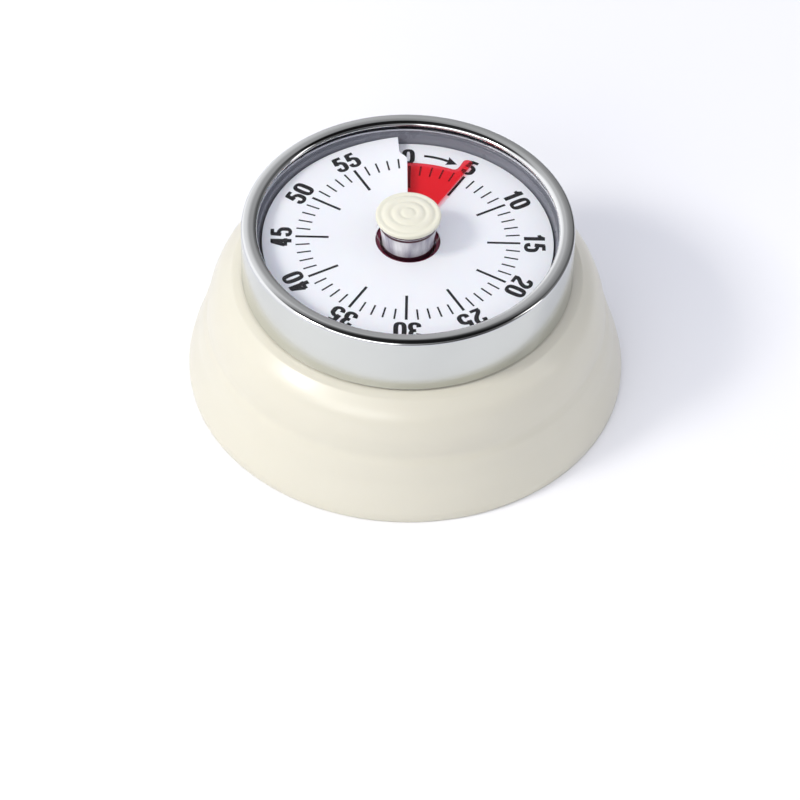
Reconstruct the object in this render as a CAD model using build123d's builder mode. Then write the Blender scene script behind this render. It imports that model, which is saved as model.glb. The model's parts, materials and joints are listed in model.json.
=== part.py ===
"""Clockwork kitchen timer: a round magnetic 60-minute timer with a turning knob.

Origin: centre of the foot ring, on the surface that the timer lies on.
+Z is up through the dial. +Y points at 0 (12 o'clock) on the dial and +X at 15 minutes.
Dial angles are in degrees clockwise from +Y, and plan angles anticlockwise from +X.
All sizes are in millimetres.
"""

import os
from math import cos, exp, radians, sin

from build123d import *

# ---- case ----
BASE_R = 35.0               # widest radius, at the foot
SHELL_WALL = 1.8
SHELL_BOTTOM_Z = 0.1
SHELL_TIERS = [             # radius and height of the wavy side, foot to shoulder
    (35.0, 1.6), (34.4, 4.0), (33.45, 6.7), (33.05, 8.2), (32.5, 9.9), (31.85, 11.2),
    (31.7, 12.7), (31.28, 15.0), (30.0, 18.0), (27.6, 20.3),
]
INNER_TOP_Z = 18.6          # underside of the shoulder
NECK_R = 25.3               # neck that carries the bezel
NECK_BORE_R = 24.3
NECK_TOP_Z = 28.7
SHOULDER_Z = 20.3
LEDGE_R = 21.3              # ledge that carries the movement
LEDGE_Z = 23.2
LEDGE_THICK = 1.6
BOSS_PLACE_R = 30.2         # bosses for the back cover's screws
BOSS_R = 2.4
BOSS_TOP_Z = 7.4
BOSS_BORE_R = 0.9
BOSS_BORE_TOP_Z = 6.4
BOSS_ANGLES = [45.0, 135.0, 225.0, 315.0]

# ---- bezel and crystal ----
BEZEL_R = 26.2
BEZEL_TOP_R = 26.0          # the outer wall leans in a little
BEZEL_BOTTOM_Z = 20.6
BEZEL_TOP_Z = 30.55
BEZEL_EDGE_R = 0.2
BEZEL_CORNER_R = 0.22
ROLL_R = 23.55              # the top is rolled in over the crystal
ROLL_CORNER_R = 0.55
ROLL_LIP_Z = 29.92
CRYSTAL_SEAT_R = 24.4
CRYSTAL_R = 25.2
CRYSTAL_HOLE_R = 5.0
CRYSTAL_BOTTOM_Z = 28.7
CRYSTAL_THICK = 0.8

# ---- grey ring around the dial ----
RING_R = 24.2
RING_HOLE_R = 6.0
RING_SKIRT_R = 23.5
RING_FLOOR_THICK = 0.55
RING_SLOPE = [(23.9, 28.7), (23.6, 28.1), (23.35, 28.1), (22.95, 26.2)]   # radius and height, top to foot
REST_PLACE_R = 22.1         # stub rests that hold the dial's rim
REST_R = 0.5
REST_COUNT = 12
REST_START = 10.0

# ---- dial and time disc, both thin film ----
FILM_THICK = 0.18
DIAL_R = 22.8
DIAL_HOLE_R = 5.1
DIAL_LOW_Z = 26.63          # at 0 minutes
DIAL_RISE = 0.95            # rise over one turn
DIAL_CURL = 0.82            # extra rise of the free end beside the slit
DIAL_CURL_START = 325.0
DIAL_START = -7.0           # lower layer reaches under the free end
DIAL_END = 358.7            # free end, inside the notch
DIAL_STEP = 15.0            # spacing of the sections along the dial
NOTCH_R = 18.2              # the free end is cut back beyond this radius
NOTCH_SLANT = 1.4
NOTCH_END = 355.0
NOTCH_BOTTOM_Z = 27.6       # between the lower layer and the free end
DISC_R = 17.7               # red time disc
DISC_HOLE_R = 4.45
DISC_SPAN = 357.0
DISC_ZERO_Z = 27.2          # height at which the disc leaves the slit
DISC_PITCH = 1.2            # rise over one turn
DISC_REST = 29.6            # dial angle of the leading edge at rest, just under 5 minutes
TAB_R = 20.8                # pointer tab beside the leading edge
TAB_WIDTH = 1.5
TAB_ROOT_R = 16.2
TAB_FILLET = 0.8
DISC_STEPS = 24

# ---- movement ----
PLATE_R = 23.8
LOWER_PLATE_R = 21.0
LOWER_PLATE_Z = 12.6
PLATE_THICK = 0.8
PIVOT_R = 0.45
PIVOT_GAP = 0.05            # running clearance of every pivot
PIVOT_END = 0.1             # free end play of every arbor
ARBOR_R = 0.6
MAIN_ARBOR_R = 1.0
MAIN_ARBOR_TOP_Z = 31.2
MAIN_BODY_R = 1.3
MAIN_PIVOT_R = 0.7
PILLAR_R = 1.3
PILLAR_PLACE_R = 18.0
PILLAR_ANGLES = [110.0, 230.0, 340.0]
LEDGE_SCREW_PLACE_R = 22.3
LEDGE_SCREW_ANGLES = [50.0, 170.0, 290.0]
SCREW_R = 0.6
SCREW_HOLE_R = 0.65
SCREW_HEAD_THICK = 0.55
PLATE_HEAD_R = 1.1
LEDGE_HEAD_R = 1.0
SLOT_WIDTH = 0.3
SLOT_LENGTH = 3.0
SLOT_DEPTH = 0.2
THREAD_DEPTH = 3.0
THREAD_GAP = 0.3
WHEEL_TEETH = 32
PINION_TEETH = 8
GREAT_TEETH = 48
GREAT_MODULE = 0.4
TRAIN_MODULE = 0.3
ROOT_DEPTH = 1.15           # root depth, in modules
TOOTH_SHARE = 0.42          # half a tooth at the pitch circle, as a share of the pitch
WHEEL_TIP = 0.9             # height above the pitch circle, in modules
WHEEL_TIP_SHARE = 0.35
PINION_TIP = 0.7
PINION_TIP_SHARE = 0.45
PINION_OVERLAP = 0.2        # a pinion starts this far below its mating wheel
WHEEL_THICK = 0.6
GREAT_Z = 19.2
GREAT_THICK = 0.8
SECOND_WHEEL_Z = 21.0
THIRD_WHEEL_Z = 22.2
ESCAPE_WHEEL_Z = 16.5
ESCAPE_TEETH = 15
ESCAPE_R = 4.0
ESCAPE_ROOT = 0.72          # root radius of a leaning tooth, as a share of the tip radius
ESCAPE_LEAN = [0.46, 0.52, 0.62]    # tip start, tip end and heel, as shares of the pitch
RATCHET_TEETH = 14
RATCHET_R = 3.6
CLICK_THICK = 0.6
CAM_R = 4.4
CAM_NOTCH_R = 1.2
CAM_THICK = 0.7
CAM_GAP = 0.5               # above the lower plate
COLLAR_R = 2.2
COLLAR_THICK = 0.6
PALLET_CENTRES = 6.3
ANCHOR_GAP = 0.25           # above the escape wheel
ANCHOR_THICK = 0.5
ANCHOR_HUB_R = 1.2
ANCHOR_ARM_WIDTH = 0.9
PIN_R = 0.25
PIN_GAP = 0.25              # outside the tooth tips
PIN_SPREAD = 32.0           # each side of the line of centres
BALANCE_Z = 20.6
BALANCE_THICK = 0.6
BALANCE_REACH = 4.2
BALANCE_WIDTH = 1.2
BALANCE_HUB_R = 1.3
BALANCE_WEIGHT_R = 0.9
BALANCE_WEIGHT_HEIGHT = 1.3
BALANCE_ANGLE = 60.0

# ---- mainspring ----
SPRING_TURNS = 5.5
SPRING_STEPS = 8            # spline points to a turn
SPRING_INNER_R = 2.0
SPRING_PITCH = 0.9
SPRING_THICK = 0.3
SPRING_Z = 15.2
SPRING_HEIGHT = 3.0
SPRING_POST_R = 0.75
SPRING_POST_GAP = 0.8

# ---- bell, hammer, back ----
BELL_R = 16.0
BELL_RIM_Z = 5.0
BELL_TOP_Z = 11.0
BELL_THICK = 0.6
BELL_FLAT_R = 4.0
BELL_HOLE_R = 1.1
BELL_BULGE = (12.5, 9.4)
BELL_BULGE_INSIDE = (12.1, 8.95)
BELL_POST_R = 2.4
BELL_SCREW_R = 1.0
BELL_HEAD_R = 2.2
BELL_HEAD_THICK = 0.9
BELL_SLOT_WIDTH = 0.5
BELL_SLOT_DEPTH = 0.4
HAMMER_PLACE_R = 19.6
HAMMER_ANGLE = 205.0
HAMMER_HEAD_R = 1.2
HAMMER_HEAD_ANGLE = 184.0
HAMMER_GAP = 0.4            # at rest the hammer hangs just off the bell
HAMMER_HUB_R = 1.2
HAMMER_WIDTH = 1.0
HAMMER_PIN_R = 0.6
HAMMER_RIVET_R = 0.9
HAMMER_RIVET_THICK = 0.4
HAMMER_HEAD_HEIGHT = 1.6
HAMMER_COLLAR_R = 1.1
TAIL_THICK = 0.7
TAIL_REACH = 5.0            # the tail ends this far from the main arbor
ARM_Z = 7.0
ARM_THICK = 0.8
COIL_R = 1.35
COIL_WIRE_R = 0.2
COIL_BOTTOM_Z = 8.5
COIL_PITCH = 0.75
COIL_HEIGHT = 2.6
COVER_R = 33.1
COVER_Z = 0.8
COVER_THICK = 1.4
COVER_HOLE_R = 1.0
COVER_HEAD_R = 1.9
COVER_HEAD_DEPTH = 0.8
SOUND_SLOTS = 12
SOUND_SLOT_PLACE_R = 19.2
SOUND_SLOT_LENGTH = 5.0
SOUND_SLOT_WIDTH = 1.3
POCKET_WALL = 1.5
POCKET_ROOF = 0.7
KEEPER_THICK = 0.5
COVER_SCREW_R = 0.9
COVER_SCREW_HEAD_R = 1.7
COVER_SCREW_SINK = 0.1
COVER_SCREW_LENGTH = 4.4
CROSS_LENGTH = 2.2
CROSS_WIDTH = 0.45
CROSS_DEPTH = 0.4
MAGNET_R = 13.0
MAGNET_HOLE_R = 5.0
MAGNET_Z = 0.5
MAGNET_THICK = 2.4
MAGNET_EDGE = 0.3
FOOT_R = 26.8
FOOT_WIDTH = 2.6
FOOT_EDGE_R = 0.3
FOOT_GROOVE = 0.6           # depth of its groove in the cover

# ---- knob ----
CAP_R = 5.1
CAP_BOTTOM_Z = 31.95
CAP_TOP_Z = 33.2
CAP_DROP = 0.45             # the cap's top falls this much from centre to edge
CAP_RIM_R = 4.72
CAP_EDGE_R = 0.3
CAP_GROOVES = 3             # ring grooves in the cap's top
CAP_GROOVE_R = 1.2
CAP_GROOVE_PITCH = 1.5
CAP_GROOVE_WIDTH = 0.36
CAP_GROOVE_DEPTH = 0.15
CAP_STEPS = 30
BARREL_BOTTOM_R = 3.95      # a cone that clears the climbing disc
BARREL_TOP_R = 4.7
BARREL_BOTTOM_Z = 25.6

# ---- worked out from the above ----
CRYSTAL_TOP_Z = CRYSTAL_BOTTOM_Z + CRYSTAL_THICK
BEZEL_BORE_R = NECK_R + 0.05
UPPER_PLATE_Z = LEDGE_Z
PLATE_TOP_Z = UPPER_PLATE_Z + PLATE_THICK
LOWER_PLATE_TOP_Z = LOWER_PLATE_Z + PLATE_THICK
RING_FLOOR_Z = PLATE_TOP_Z + SCREW_HEAD_THICK + 0.05
RING_FLOOR_TOP_Z = RING_FLOOR_Z + RING_FLOOR_THICK
ANCHOR_Z = ESCAPE_WHEEL_Z + WHEEL_THICK + ANCHOR_GAP
TAIL_Z = LOWER_PLATE_TOP_Z + CAM_GAP
MAGNET_TOP_Z = MAGNET_Z + MAGNET_THICK
POCKET_TOP_Z = MAGNET_TOP_Z + KEEPER_THICK
FIRST_CENTRES = GREAT_MODULE * (GREAT_TEETH + PINION_TEETH) / 2
TRAIN_CENTRES = TRAIN_MODULE * (WHEEL_TEETH + PINION_TEETH) / 2
DIRECTION_1 = 90.0          # plan direction from each arbor to the next
DIRECTION_2 = 0.0
DIRECTION_3 = -50.0
DIRECTION_4 = -45.0


def plan(radius, angle, start=(0.0, 0.0)):
    """The plan point at a radius and a plan angle from a start point."""
    return (start[0] + radius * cos(radians(angle)), start[1] + radius * sin(radians(angle)))


SECOND_AT = plan(FIRST_CENTRES, DIRECTION_1)
THIRD_AT = plan(TRAIN_CENTRES, DIRECTION_2, SECOND_AT)
ESCAPE_AT = plan(TRAIN_CENTRES, DIRECTION_3, THIRD_AT)
PALLET_AT = plan(PALLET_CENTRES, DIRECTION_4, ESCAPE_AT)
HAMMER_AT = plan(HAMMER_PLACE_R, HAMMER_ANGLE)
HAMMER_HEAD_AT = plan(BELL_R + HAMMER_GAP + HAMMER_HEAD_R, HAMMER_HEAD_ANGLE)
TAIL_END_AT = plan(TAIL_REACH, HAMMER_ANGLE)
MESH_PHASE = 180.0 + 180.0 / PINION_TEETH

os.makedirs("parts", exist_ok=True)


def save(piece, name):
    piece.part.label = name
    export_step(piece.part, f"parts/{name}.step")


def dial_plane(dial_angle, height=0.0):
    """Plane through the axis at a dial angle: local x is the radius, local y is up."""
    turn = radians(dial_angle)
    return Plane(origin=(0, 0, height), x_dir=(sin(turn), cos(turn), 0), z_dir=(cos(turn), -sin(turn), 0))


def dial_height(dial_angle):
    """Middle of the dial film: a slow spiral ramp whose free end curls up."""
    curl = max(0.0, (dial_angle - DIAL_CURL_START) / (360.0 - DIAL_CURL_START))
    return DIAL_LOW_Z + DIAL_RISE * dial_angle / 360.0 + DIAL_CURL * curl**2


def disc_height(dial_angle):
    """Middle of the red time disc at rest: one turn of a helix that passes the slit."""
    return DISC_ZERO_Z + DISC_PITCH * dial_angle / 360.0


def tooth_points(teeth, module, addendum, tip_share, phase):
    """Outline of a wheel with radial flanks and pointed, relieved tips."""
    pitch_r = module * teeth / 2
    root_r = pitch_r - ROOT_DEPTH * module
    tip_r = pitch_r + addendum * module
    half_tooth = TOOTH_SHARE * 180.0 / teeth
    corners = [
        (root_r, -half_tooth), (pitch_r, -half_tooth), (tip_r, -half_tooth * tip_share),
        (tip_r, half_tooth * tip_share), (pitch_r, half_tooth), (root_r, half_tooth),
    ]
    middles = [phase + 360.0 * number / teeth for number in range(teeth)]
    return [plan(radius, middle + offset) for middle in middles for radius, offset in corners]


def escape_points(teeth, tip_r, phase):
    """Outline of a wheel whose pointed teeth all lean one way."""
    pitch = 360.0 / teeth
    root_r = ESCAPE_ROOT * tip_r
    tip_start, tip_end, heel = [share * pitch for share in ESCAPE_LEAN]
    corners = [(root_r, 0.0), (tip_r, tip_start), (tip_r, tip_end), (root_r, heel)]
    middles = [phase + pitch * number for number in range(teeth)]
    return [plan(radius, middle + offset) for middle in middles for radius, offset in corners]


def wheel_sketch(points, centre, bore_r):
    """Face of a toothed wheel about a centre, with its bore cut out."""
    with Locations(centre):
        Polygon(*points, align=None)
        if bore_r > 0:
            Circle(bore_r, mode=Mode.SUBTRACT)


def cylinder_at(centre, radius, bottom_z, top_z, mode=Mode.ADD):
    """Add a round post to the current part, or cut one from it."""
    with Locations((*centre, bottom_z)):
        Cylinder(radius, top_z - bottom_z, align=(Align.CENTER, Align.CENTER, Align.MIN), mode=mode)


def polar_points(radius, angles):
    return [plan(radius, angle) for angle in angles]


PILLARS_AT = polar_points(PILLAR_PLACE_R, PILLAR_ANGLES)
LEDGE_SCREWS_AT = polar_points(LEDGE_SCREW_PLACE_R, LEDGE_SCREW_ANGLES)
BOSSES_AT = polar_points(BOSS_PLACE_R, BOSS_ANGLES)


# ---- case ----
with BuildPart() as body_shell:
    with BuildSketch(Plane.XZ):
        with BuildLine():
            Line((BASE_R - SHELL_WALL, SHELL_BOTTOM_Z), (BASE_R, SHELL_BOTTOM_Z))
            Line((BASE_R, SHELL_BOTTOM_Z), SHELL_TIERS[0])
            Spline(*SHELL_TIERS, tangents=[(0, 1), (-1, 0.62)])
            Polyline(
                SHELL_TIERS[-1], (NECK_R, SHOULDER_Z), (NECK_R, NECK_TOP_Z), (NECK_BORE_R, NECK_TOP_Z),
                (NECK_BORE_R, LEDGE_Z), (LEDGE_R, LEDGE_Z), (LEDGE_R, LEDGE_Z - LEDGE_THICK),
                (NECK_BORE_R, LEDGE_Z - LEDGE_THICK), (NECK_BORE_R, INNER_TOP_Z),
                (NECK_BORE_R + SHELL_WALL, INNER_TOP_Z), (SHELL_TIERS[-2][0] - SHELL_WALL, SHELL_TIERS[-2][1]),
            )
            Spline(*[(r - SHELL_WALL, z) for r, z in SHELL_TIERS[-2::-1]])
            Line((BASE_R - SHELL_WALL, SHELL_TIERS[0][1]), (BASE_R - SHELL_WALL, SHELL_BOTTOM_Z))
        make_face()
    revolve(axis=Axis.Z)
    for boss in BOSSES_AT:
        cylinder_at(boss, BOSS_R, COVER_Z + COVER_THICK, BOSS_TOP_Z)
        cylinder_at(boss, BOSS_BORE_R, COVER_Z + COVER_THICK, BOSS_BORE_TOP_Z, Mode.SUBTRACT)
    for screw in LEDGE_SCREWS_AT:
        cylinder_at(screw, SCREW_HOLE_R, LEDGE_Z - LEDGE_THICK, LEDGE_Z, Mode.SUBTRACT)
save(body_shell, "body_shell")

with BuildPart() as bezel_ring:
    with BuildSketch(Plane.XZ):
        with BuildLine():
            Polyline(
                (BEZEL_BORE_R, BEZEL_BOTTOM_Z), (BEZEL_R, BEZEL_BOTTOM_Z), (BEZEL_TOP_R, BEZEL_TOP_Z),
                (ROLL_R, BEZEL_TOP_Z), (ROLL_R, ROLL_LIP_Z), (CRYSTAL_SEAT_R, ROLL_LIP_Z),
                (CRYSTAL_SEAT_R, CRYSTAL_TOP_Z), (BEZEL_BORE_R, CRYSTAL_TOP_Z), close=True,
            )
        make_face()
    revolve(axis=Axis.Z)
    fillet(bezel_ring.edges().group_by(Axis.Z)[0].sort_by(SortBy.RADIUS)[-1], BEZEL_EDGE_R)
    fillet(bezel_ring.edges().group_by(Axis.Z)[-1].sort_by(SortBy.RADIUS)[-1], BEZEL_CORNER_R)
    fillet(bezel_ring.edges().group_by(Axis.Z)[-1].sort_by(SortBy.RADIUS)[0], ROLL_CORNER_R)
save(bezel_ring, "bezel_ring")

with BuildPart() as crystal:
    with BuildSketch(Plane.XY.offset(CRYSTAL_BOTTOM_Z)):
        Circle(CRYSTAL_R)
        Circle(CRYSTAL_HOLE_R, mode=Mode.SUBTRACT)
    extrude(amount=CRYSTAL_THICK)
save(crystal, "crystal")

# The ring's floor covers the movement.
with BuildPart() as dial_ring:
    with BuildSketch(Plane.XZ):
        with BuildLine():
            Polyline(
                (RING_HOLE_R, RING_FLOOR_Z), (RING_SKIRT_R, RING_FLOOR_Z), (RING_SKIRT_R, PLATE_TOP_Z),
                (RING_R, PLATE_TOP_Z), (RING_R, NECK_TOP_Z), *RING_SLOPE,
                (RING_SLOPE[-1][0], RING_FLOOR_TOP_Z), (RING_HOLE_R, RING_FLOOR_TOP_Z), close=True,
            )
        make_face()
    revolve(axis=Axis.Z)
    for number in range(REST_COUNT):
        rest_angle = REST_START + 360.0 * number / REST_COUNT
        rest_top_z = dial_height(rest_angle) - FILM_THICK
        cylinder_at(plan(REST_PLACE_R, 90.0 - rest_angle), REST_R, RING_FLOOR_TOP_Z, rest_top_z)
save(dial_ring, "dial_ring")

DIAL_WIDTH = DIAL_R - DIAL_HOLE_R
DIAL_ANGLES = [DIAL_START]
DIAL_ANGLES += [DIAL_STEP * step for step in range(22)]
DIAL_ANGLES += [DIAL_CURL_START, 335.0, 345.0, 352.0, DIAL_END]
with BuildPart() as dial:
    for dial_angle in DIAL_ANGLES:
        with BuildSketch(dial_plane(dial_angle, dial_height(dial_angle))):
            with Locations((DIAL_HOLE_R + DIAL_WIDTH / 2, 0)):
                Rectangle(DIAL_WIDTH, FILM_THICK)
    loft()
    with BuildSketch(Plane.XY.offset(NOTCH_BOTTOM_Z)):
        with BuildLine():
            Polyline(
                plan(NOTCH_R, 88.5 - NOTCH_END), plan(NOTCH_R + NOTCH_SLANT, 90.0 - NOTCH_END),
                plan(DIAL_R + 1.0, 90.0 - NOTCH_END), plan(DIAL_R + 1.0, 80.0), plan(NOTCH_R - 0.8, 80.0),
                plan(NOTCH_R - 0.8, 90.0 - DIAL_END), close=True,
            )
        make_face()
    extrude(amount=2.0, mode=Mode.SUBTRACT)
save(dial, "dial")

# ---- movement frame ----
with BuildPart() as upper_plate:
    cylinder_at((0, 0), PLATE_R, UPPER_PLATE_Z, PLATE_TOP_Z)
    cylinder_at((0, 0), MAIN_ARBOR_R + PIVOT_GAP, UPPER_PLATE_Z, PLATE_TOP_Z, Mode.SUBTRACT)
    for pivot in (SECOND_AT, THIRD_AT, ESCAPE_AT, PALLET_AT):
        cylinder_at(pivot, PIVOT_R + PIVOT_GAP, UPPER_PLATE_Z, PLATE_TOP_Z, Mode.SUBTRACT)
    for screw in PILLARS_AT + LEDGE_SCREWS_AT:
        cylinder_at(screw, SCREW_HOLE_R, UPPER_PLATE_Z, PLATE_TOP_Z, Mode.SUBTRACT)
save(upper_plate, "upper_plate")

with BuildPart() as lower_plate:
    cylinder_at((0, 0), LOWER_PLATE_R, LOWER_PLATE_Z, LOWER_PLATE_TOP_Z)
    cylinder_at((0, 0), MAIN_PIVOT_R + PIVOT_GAP, LOWER_PLATE_Z, LOWER_PLATE_TOP_Z, Mode.SUBTRACT)
    for pivot in (SECOND_AT, THIRD_AT, ESCAPE_AT, PALLET_AT):
        cylinder_at(pivot, PIVOT_R + PIVOT_GAP, LOWER_PLATE_Z, LOWER_PLATE_TOP_Z, Mode.SUBTRACT)
    for screw in PILLARS_AT:
        cylinder_at(screw, SCREW_HOLE_R, LOWER_PLATE_Z, LOWER_PLATE_TOP_Z, Mode.SUBTRACT)
    cylinder_at(HAMMER_AT, ARBOR_R + PIVOT_GAP, LOWER_PLATE_Z, LOWER_PLATE_TOP_Z, Mode.SUBTRACT)
save(lower_plate, "lower_plate")

with BuildPart() as plate_pillars:
    for pillar in PILLARS_AT:
        cylinder_at(pillar, PILLAR_R, LOWER_PLATE_TOP_Z, UPPER_PLATE_Z)
        cylinder_at(pillar, SCREW_R, LOWER_PLATE_TOP_Z, LOWER_PLATE_TOP_Z + THREAD_DEPTH, Mode.SUBTRACT)
        cylinder_at(pillar, SCREW_R, UPPER_PLATE_Z - THREAD_DEPTH, UPPER_PLATE_Z, Mode.SUBTRACT)
save(plate_pillars, "plate_pillars")

with BuildPart() as plate_screws:
    for pillar in PILLARS_AT:
        cylinder_at(pillar, SCREW_R, UPPER_PLATE_Z - THREAD_DEPTH + THREAD_GAP, PLATE_TOP_Z)
        cylinder_at(pillar, PLATE_HEAD_R, PLATE_TOP_Z, PLATE_TOP_Z + SCREW_HEAD_THICK)
        cylinder_at(pillar, SCREW_R, LOWER_PLATE_Z, LOWER_PLATE_TOP_Z + THREAD_DEPTH - THREAD_GAP)
        cylinder_at(pillar, PLATE_HEAD_R, LOWER_PLATE_Z - SCREW_HEAD_THICK, LOWER_PLATE_Z)
    for slot_z in (PLATE_TOP_Z + SCREW_HEAD_THICK, LOWER_PLATE_Z - SCREW_HEAD_THICK):
        with BuildSketch(Plane.XY.offset(slot_z)):
            with Locations(*PILLARS_AT):
                Rectangle(SLOT_LENGTH, SLOT_WIDTH)
        extrude(amount=SLOT_DEPTH, both=True, mode=Mode.SUBTRACT)
save(plate_screws, "plate_screws")

with BuildPart() as movement_screws:
    for screw in LEDGE_SCREWS_AT:
        cylinder_at(screw, SCREW_R, LEDGE_Z - LEDGE_THICK + 0.1, PLATE_TOP_Z)
        cylinder_at(screw, LEDGE_HEAD_R, PLATE_TOP_Z, PLATE_TOP_Z + SCREW_HEAD_THICK)
    with BuildSketch(Plane.XY.offset(PLATE_TOP_Z + SCREW_HEAD_THICK)):
        with Locations(*LEDGE_SCREWS_AT):
            Rectangle(SLOT_LENGTH, SLOT_WIDTH)
    extrude(amount=SLOT_DEPTH, both=True, mode=Mode.SUBTRACT)
save(movement_screws, "movement_screws")

# ---- mainspring ----
def spiral_points(offset):
    """Points along the wound mainspring."""
    turns = [step / SPRING_STEPS for step in range(int(SPRING_TURNS * SPRING_STEPS) + 1)]
    return [plan(SPRING_INNER_R + offset + SPRING_PITCH * turn, 360.0 * turn) for turn in turns]


with BuildPart() as mainspring:
    with BuildSketch(Plane.XY.offset(SPRING_Z)):
        with BuildLine():
            inner_side = Spline(*spiral_points(0.0))
            outer_side = Spline(*spiral_points(SPRING_THICK))
            Line(inner_side @ 0, outer_side @ 0)
            Line(inner_side @ 1, outer_side @ 1)
        make_face()
    extrude(amount=SPRING_HEIGHT)
save(mainspring, "mainspring")

SPRING_END_R = SPRING_INNER_R + SPRING_PITCH * SPRING_TURNS + SPRING_THICK
SPRING_POST_AT = plan(SPRING_END_R + SPRING_POST_GAP, 360.0 * SPRING_TURNS)
with BuildPart() as spring_post:
    cylinder_at(SPRING_POST_AT, SPRING_POST_R, LOWER_PLATE_TOP_Z, SPRING_Z + SPRING_HEIGHT + 0.3)
save(spring_post, "spring_post")

# ---- bell and its fixing ----
BELL_ROOF_Z = BELL_TOP_Z - BELL_THICK
with BuildPart() as bell:
    with BuildSketch(Plane.XZ):
        with BuildLine():
            Line((BELL_HOLE_R, BELL_TOP_Z), (BELL_FLAT_R, BELL_TOP_Z))
            Spline((BELL_FLAT_R, BELL_TOP_Z), BELL_BULGE, (BELL_R, BELL_RIM_Z), tangents=[(1, 0), (0.05, -1)])
            Line((BELL_R, BELL_RIM_Z), (BELL_R - BELL_THICK, BELL_RIM_Z))
            Spline(
                (BELL_R - BELL_THICK, BELL_RIM_Z), BELL_BULGE_INSIDE, (BELL_FLAT_R, BELL_ROOF_Z),
                tangents=[(-0.05, 1), (-1, 0)],
            )
            Polyline((BELL_FLAT_R, BELL_ROOF_Z), (BELL_HOLE_R, BELL_ROOF_Z), (BELL_HOLE_R, BELL_TOP_Z))
        make_face()
    revolve(axis=Axis.Z)
save(bell, "bell")

with BuildPart() as bell_post:
    cylinder_at((0, 0), BELL_POST_R, BELL_TOP_Z, LOWER_PLATE_Z)
    cylinder_at((0, 0), BELL_SCREW_R, BELL_TOP_Z, LOWER_PLATE_Z, Mode.SUBTRACT)
save(bell_post, "bell_post")

with BuildPart() as bell_screw:
    cylinder_at((0, 0), BELL_SCREW_R, BELL_ROOF_Z, LOWER_PLATE_Z - THREAD_GAP)
    cylinder_at((0, 0), BELL_HEAD_R, BELL_ROOF_Z - BELL_HEAD_THICK, BELL_ROOF_Z)
    with BuildSketch(Plane.XY.offset(BELL_ROOF_Z - BELL_HEAD_THICK)):
        Rectangle(3 * BELL_HEAD_R, BELL_SLOT_WIDTH)
    extrude(amount=BELL_SLOT_DEPTH, mode=Mode.SUBTRACT)
save(bell_screw, "bell_screw")

# ---- back ----
with BuildPart() as back_cover:
    cylinder_at((0, 0), COVER_R, COVER_Z, COVER_Z + COVER_THICK)
    cylinder_at((0, 0), MAGNET_R + POCKET_WALL, COVER_Z, POCKET_TOP_Z + POCKET_ROOF)
    cylinder_at((0, 0), MAGNET_R + PIVOT_GAP, COVER_Z, POCKET_TOP_Z, Mode.SUBTRACT)
    with BuildSketch(Plane.XY.offset(COVER_Z)):
        Circle(FOOT_R)
        Circle(FOOT_R - FOOT_WIDTH, mode=Mode.SUBTRACT)
    extrude(amount=FOOT_GROOVE, mode=Mode.SUBTRACT)
    with BuildSketch(Plane.XY.offset(COVER_Z)):
        with PolarLocations(SOUND_SLOT_PLACE_R, SOUND_SLOTS):
            SlotOverall(SOUND_SLOT_LENGTH, SOUND_SLOT_WIDTH)
    extrude(amount=COVER_THICK, mode=Mode.SUBTRACT)
    for boss in BOSSES_AT:
        cylinder_at(boss, COVER_HOLE_R, COVER_Z, COVER_Z + COVER_THICK, Mode.SUBTRACT)
        cylinder_at(boss, COVER_HEAD_R, COVER_Z, COVER_Z + COVER_HEAD_DEPTH, Mode.SUBTRACT)
save(back_cover, "back_cover")

with BuildPart() as back_cover_screws:
    head_top_z = COVER_Z + COVER_HEAD_DEPTH
    for boss in BOSSES_AT:
        cylinder_at(boss, COVER_SCREW_HEAD_R, COVER_Z + COVER_SCREW_SINK, head_top_z)
        cylinder_at(boss, COVER_SCREW_R, head_top_z, head_top_z + COVER_SCREW_LENGTH)
    with BuildSketch(Plane.XY.offset(COVER_Z + COVER_SCREW_SINK)):
        with Locations(*BOSSES_AT):
            Rectangle(CROSS_LENGTH, CROSS_WIDTH)
            Rectangle(CROSS_WIDTH, CROSS_LENGTH)
    extrude(amount=CROSS_DEPTH, mode=Mode.SUBTRACT)
save(back_cover_screws, "back_cover_screws")

with BuildPart() as magnet_ring:
    with BuildSketch(Plane.XY.offset(MAGNET_Z)):
        Circle(MAGNET_R)
        Circle(MAGNET_HOLE_R, mode=Mode.SUBTRACT)
    extrude(amount=MAGNET_THICK)
    chamfer(magnet_ring.edges().group_by(Axis.Z)[0], MAGNET_EDGE)
save(magnet_ring, "magnet_ring")

with BuildPart() as magnet_keeper:
    cylinder_at((0, 0), MAGNET_R, MAGNET_TOP_Z, POCKET_TOP_Z)
save(magnet_keeper, "magnet_keeper")

with BuildPart() as foot_ring:
    with BuildSketch(Plane.XY):
        Circle(FOOT_R)
        Circle(FOOT_R - FOOT_WIDTH, mode=Mode.SUBTRACT)
    extrude(amount=COVER_Z + FOOT_GROOVE)
    fillet(foot_ring.edges().group_by(Axis.Z)[0], FOOT_EDGE_R)
save(foot_ring, "foot_ring")

# ---- knob and everything on the main arbor ----
def cap_height(radius):
    """Top of the cap: a low dome with three soft ring grooves."""
    groove_radii = [CAP_GROOVE_R + CAP_GROOVE_PITCH * number for number in range(CAP_GROOVES)]
    grooves = sum(exp(-(((radius - middle) / CAP_GROOVE_WIDTH) ** 2)) for middle in groove_radii)
    return CAP_TOP_Z - CAP_DROP * (radius / CAP_R) ** 2 - CAP_GROOVE_DEPTH * grooves


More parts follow.
